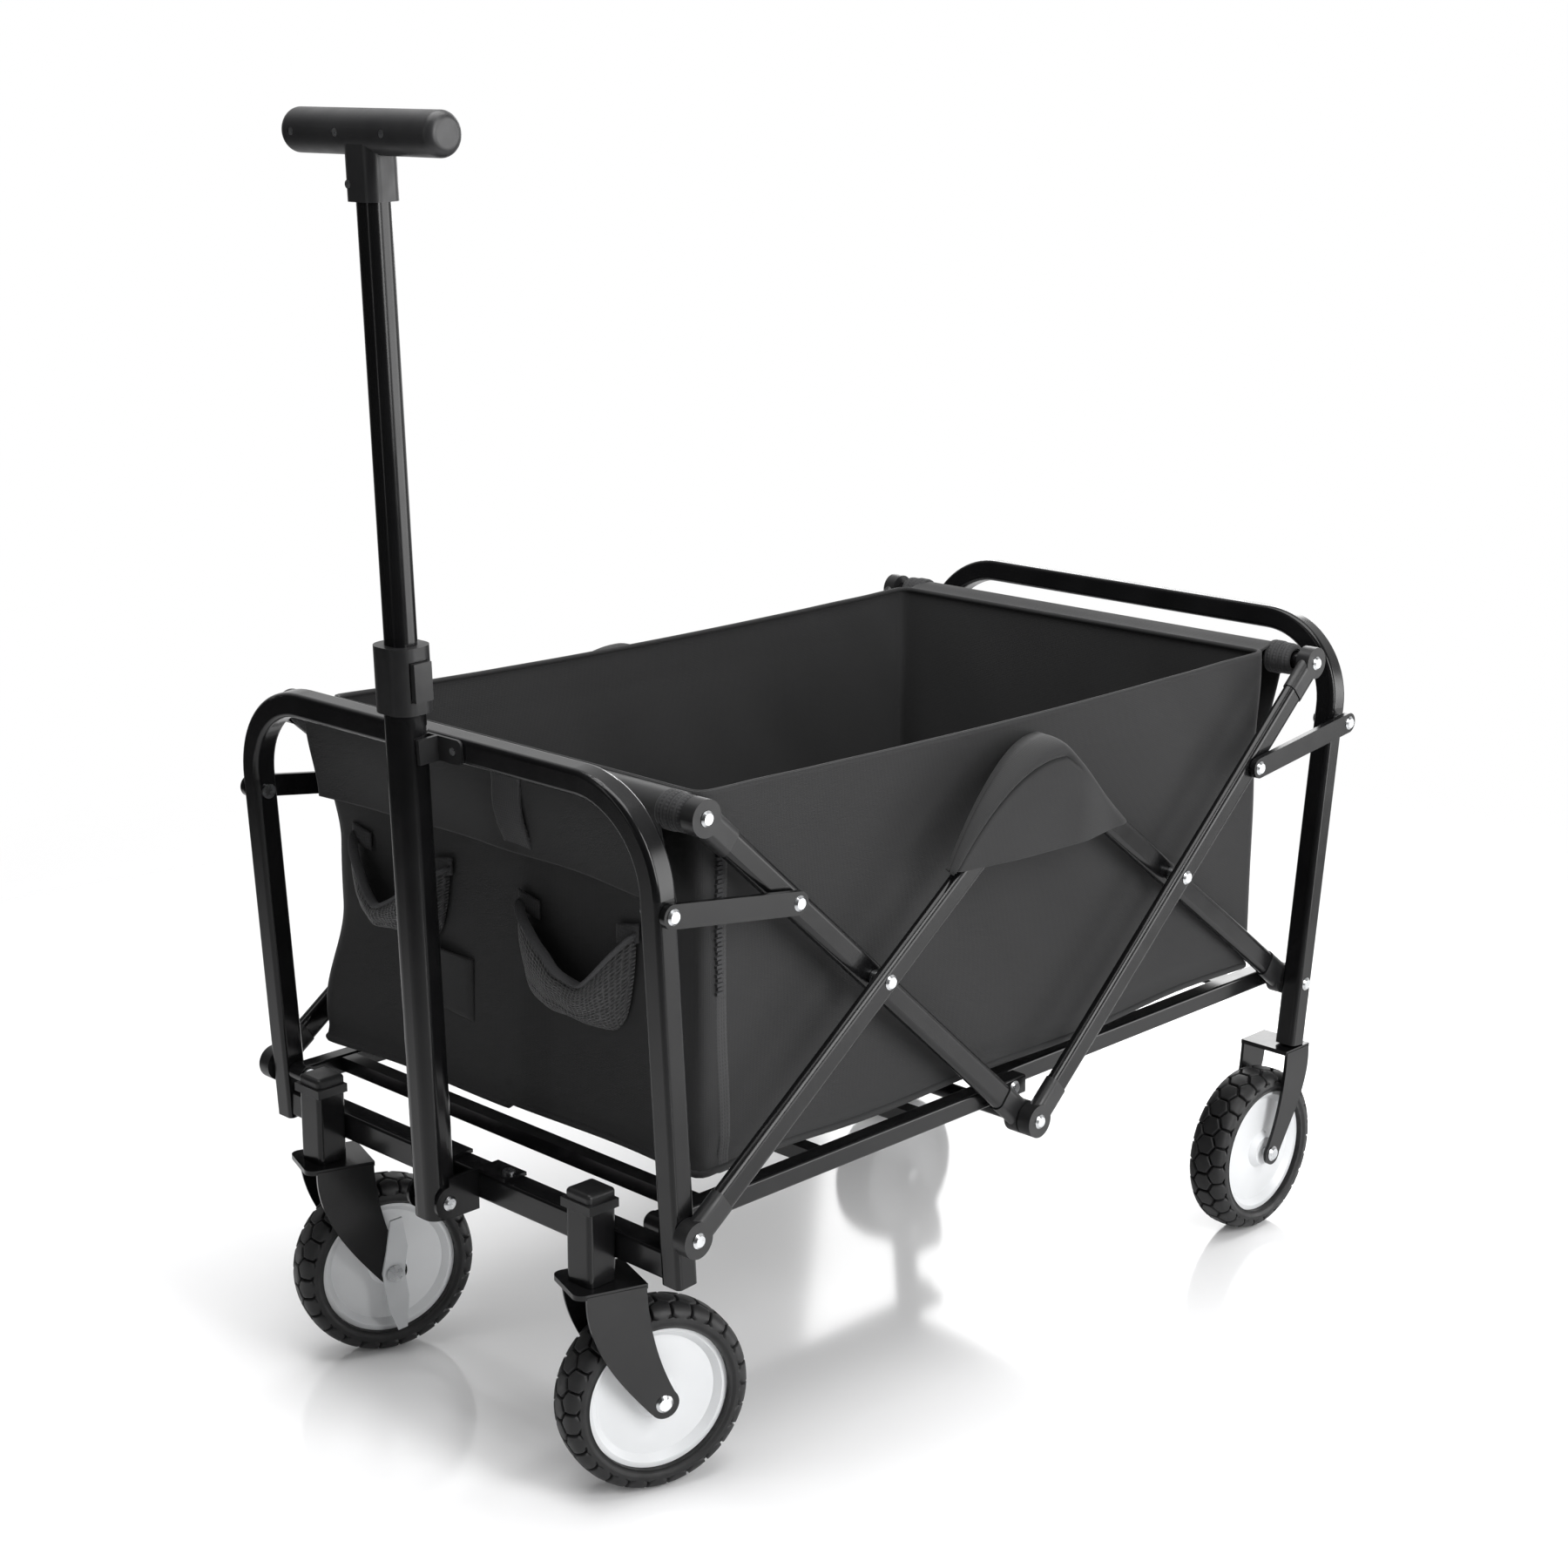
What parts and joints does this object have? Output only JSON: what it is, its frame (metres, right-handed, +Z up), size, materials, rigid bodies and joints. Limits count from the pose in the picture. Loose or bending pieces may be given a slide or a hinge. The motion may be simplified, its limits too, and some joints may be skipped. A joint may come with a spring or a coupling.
{
  "type": "folding wagon with pull handle",
  "caption": "Folding cloth-basket wagon: steel end frames on four wheels, scissor side bars that fold it short, swivelling front casters and an upright telescopic T-handle.",
  "frame": {"origin": "on the floor under the middle of the outline", "axes": "+X forward towards the pull handle, +Y to the wagon's left, +Z up"},
  "size_m": [0.9152, 0.5204, 1.0124],
  "materials": {
    "black_steel": "satin black powder coat",
    "dark_plastic": "moulded dark grey",
    "grip_plastic": "soft satin",
    "rivet_steel": "zinc plated",
    "hub_plastic": "white moulded disc",
    "lever_plastic": "light grey moulded",
    "tyre_rubber": "matt tread",
    "black_cloth": "coated woven polyester"
  },
  "bodies": {
    "front_frame": {"front_frame_tube": "black_steel", "front_cross_rail": "black_steel", "caster_housings": "black_steel", "housing_caps": "dark_plastic", "handle_bracket": "black_steel", "bracket_fasteners": "rivet_steel", "handle_clip": "dark_plastic", "clip_screw": "rivet_steel", "front_leg_bolts": "rivet_steel"},
    "basket": {"basket": "black_cloth"},
    "handle_lower": {"handle_outer_tube": "black_steel", "handle_collar": "dark_plastic"},
    "release_button": {"release_button": "dark_plastic"},
    "handle_upper": {"handle_inner_tube": "black_steel", "handle_grip": "grip_plastic", "grip_screws": "rivet_steel"},
    "front_outer_bars": {"outer_front_bars": "black_steel", "outer_front_knuckles": "dark_plastic", "outer_front_rivets": "rivet_steel"},
    "front_inner_bars": {"inner_front_bars": "black_steel", "inner_front_knuckles": "dark_plastic", "inner_front_rivets": "rivet_steel", "front_top_rod": "black_steel", "bottom_middle_rod": "black_steel"},
    "rear_inner_bars": {"inner_rear_bars": "black_steel", "inner_rear_knuckles": "dark_plastic", "inner_rear_rivets": "rivet_steel"},
    "rear_outer_bars": {"outer_rear_bars": "black_steel", "outer_rear_knuckles": "dark_plastic", "outer_rear_rivets": "rivet_steel", "rear_top_rod": "black_steel"},
    "rear_frame": {"rear_frame_tube": "black_steel", "rear_forks": "black_steel", "rear_axles": "rivet_steel", "rear_leg_bolts": "rivet_steel"},
    "front_link": {"front_links": "black_steel", "front_link_rivets": "rivet_steel"},
    "rear_link": {"rear_links": "black_steel", "rear_link_rivets": "rivet_steel"},
    "base_front": {"base_front_frame": "black_steel", "base_middle_rivets": "rivet_steel"},
    "base_rear": {"base_rear_frame": "black_steel"},
    "caster_left": {"caster_fork_left": "black_steel", "caster_axle_left": "rivet_steel"},
    "front_wheel_left": {"front_hub_left": "hub_plastic", "front_tyre_left": "tyre_rubber"},
    "brake_left": {"brake_lever_left": "lever_plastic"},
    "rear_wheel_left": {"rear_hub_left": "hub_plastic", "rear_tyre_left": "tyre_rubber"},
    "caster_right": {"caster_fork_right": "black_steel", "caster_axle_right": "rivet_steel"},
    "front_wheel_right": {"front_hub_right": "hub_plastic", "front_tyre_right": "tyre_rubber"},
    "brake_right": {"brake_lever_right": "lever_plastic"},
    "rear_wheel_right": {"rear_hub_right": "hub_plastic", "rear_tyre_right": "tyre_rubber"}
  },
  "joints": [
    {"name": "handle_tilt", "type": "hinge", "parent": "front_frame", "child": "handle_lower", "pos_m": [0.41, 0, 0.196], "axis": [0, 1, 0], "range_deg": [0, 85]},
    {"name": "handle_length", "type": "slide", "parent": "handle_lower", "child": "handle_upper", "axis": [-0.0375, 0, -0.9993], "range_m": [0, 0.305]},
    {"name": "release_press", "type": "slide", "parent": "handle_lower", "child": "release_button", "axis": [0, -1, 0], "range_m": [0, 0.003], "stiffness_N_per_m": 400},
    {"name": "sides_fold", "type": "hinge", "parent": "front_frame", "child": "front_outer_bars", "pos_m": [0.3755, 0, 0.23], "axis": [0, 1, 0], "range_deg": [0, 39], "deforming": ["basket"]},
    {"name": "front_crossing", "type": "hinge", "parent": "front_outer_bars", "child": "front_inner_bars", "pos_m": [0.1735, 0, 0.3757], "axis": [0, 1, 0], "range_deg": [-73.71, 0]},
    {"name": "top_middle", "type": "hinge", "parent": "front_outer_bars", "child": "rear_inner_bars", "pos_m": [-0.018, 0, 0.5135], "axis": [0, 1, 0], "range_deg": [-78, 0]},
    {"name": "rear_crossing", "type": "hinge", "parent": "rear_inner_bars", "child": "rear_outer_bars", "pos_m": [-0.2095, 0, 0.3757], "axis": [0, 1, 0], "range_deg": [0, 73.71]},
    {"name": "rear_leg_pivot", "type": "hinge", "parent": "rear_inner_bars", "child": "rear_frame", "pos_m": [-0.4115, 0, 0.23], "axis": [0, 1, 0], "range_deg": [0, 39]},
    {"name": "front_link_pivot", "type": "hinge", "parent": "front_frame", "child": "front_link", "pos_m": [0.3916, 0, 0.474], "axis": [0, 1, 0], "range_deg": [0, 73.32]},
    {"name": "rear_link_pivot", "type": "hinge", "parent": "rear_frame", "child": "rear_link", "pos_m": [-0.43907, 0, 0.474], "axis": [0, 1, 0], "range_deg": [-68.25, 0]},
    {"name": "base_front_pivot", "type": "hinge", "parent": "front_frame", "child": "base_front", "pos_m": [0.3755, 0, 0.23], "axis": [0, 1, 0], "range_deg": [0, 70.59]},
    {"name": "base_rear_pivot", "type": "hinge", "parent": "rear_frame", "child": "base_rear", "pos_m": [-0.4115, 0, 0.23], "axis": [0, 1, 0], "range_deg": [-70.59, 0]},
    {"name": "basket_rise", "type": "slide", "parent": "front_frame", "child": "basket", "axis": [0, 0, 1], "range_m": [0, 0.16827]},
    {"name": "caster_swivel_left", "type": "hinge", "parent": "front_frame", "child": "caster_left", "pos_m": [0.39439, 0.1635, 0.176], "axis": [0, 0, 1], "continuous": true},
    {"name": "front_wheel_spin_left", "type": "hinge", "parent": "caster_left", "child": "front_wheel_left", "pos_m": [0.35006, 0.17911, 0.0755], "axis": [0.3322, 0.9432, 0], "continuous": true},
    {"name": "brake_press_left", "type": "hinge", "parent": "caster_left", "child": "brake_left", "pos_m": [0.35006, 0.17911, 0.0755], "axis": [0.3322, 0.9432, 0], "range_deg": [0, 18]},
    {"name": "rear_wheel_spin_left", "type": "hinge", "parent": "rear_frame", "child": "rear_wheel_left", "pos_m": [-0.37, 0.221, 0.0755], "axis": [0, 1, 0], "continuous": true},
    {"name": "caster_swivel_right", "type": "hinge", "parent": "front_frame", "child": "caster_right", "pos_m": [0.39439, -0.1635, 0.176], "axis": [0, 0, 1], "continuous": true},
    {"name": "front_wheel_spin_right", "type": "hinge", "parent": "caster_right", "child": "front_wheel_right", "pos_m": [0.35006, -0.14789, 0.0755], "axis": [0.3322, 0.9432, 0], "continuous": true},
    {"name": "brake_press_right", "type": "hinge", "parent": "caster_right", "child": "brake_right", "pos_m": [0.35006, -0.14789, 0.0755], "axis": [0.3322, 0.9432, 0], "range_deg": [0, 18]},
    {"name": "rear_wheel_spin_right", "type": "hinge", "parent": "rear_frame", "child": "rear_wheel_right", "pos_m": [-0.37, -0.221, 0.0755], "axis": [0, 1, 0], "continuous": true}
  ],
  "couplings": [
    {"joint": "front_crossing", "follows": "sides_fold", "ratio": -1.89},
    {"joint": "top_middle", "follows": "sides_fold", "ratio": -2},
    {"joint": "rear_crossing", "follows": "sides_fold", "ratio": 1.89},
    {"joint": "rear_leg_pivot", "follows": "sides_fold", "ratio": 1},
    {"joint": "front_link_pivot", "follows": "sides_fold", "ratio": 1.88},
    {"joint": "rear_link_pivot", "follows": "sides_fold", "ratio": -1.75},
    {"joint": "base_front_pivot", "follows": "sides_fold", "ratio": 1.81},
    {"joint": "base_rear_pivot", "follows": "sides_fold", "ratio": -1.81},
    {"joint": "basket_rise", "follows": "sides_fold", "m_per_rad": 0.2472}
  ]
}
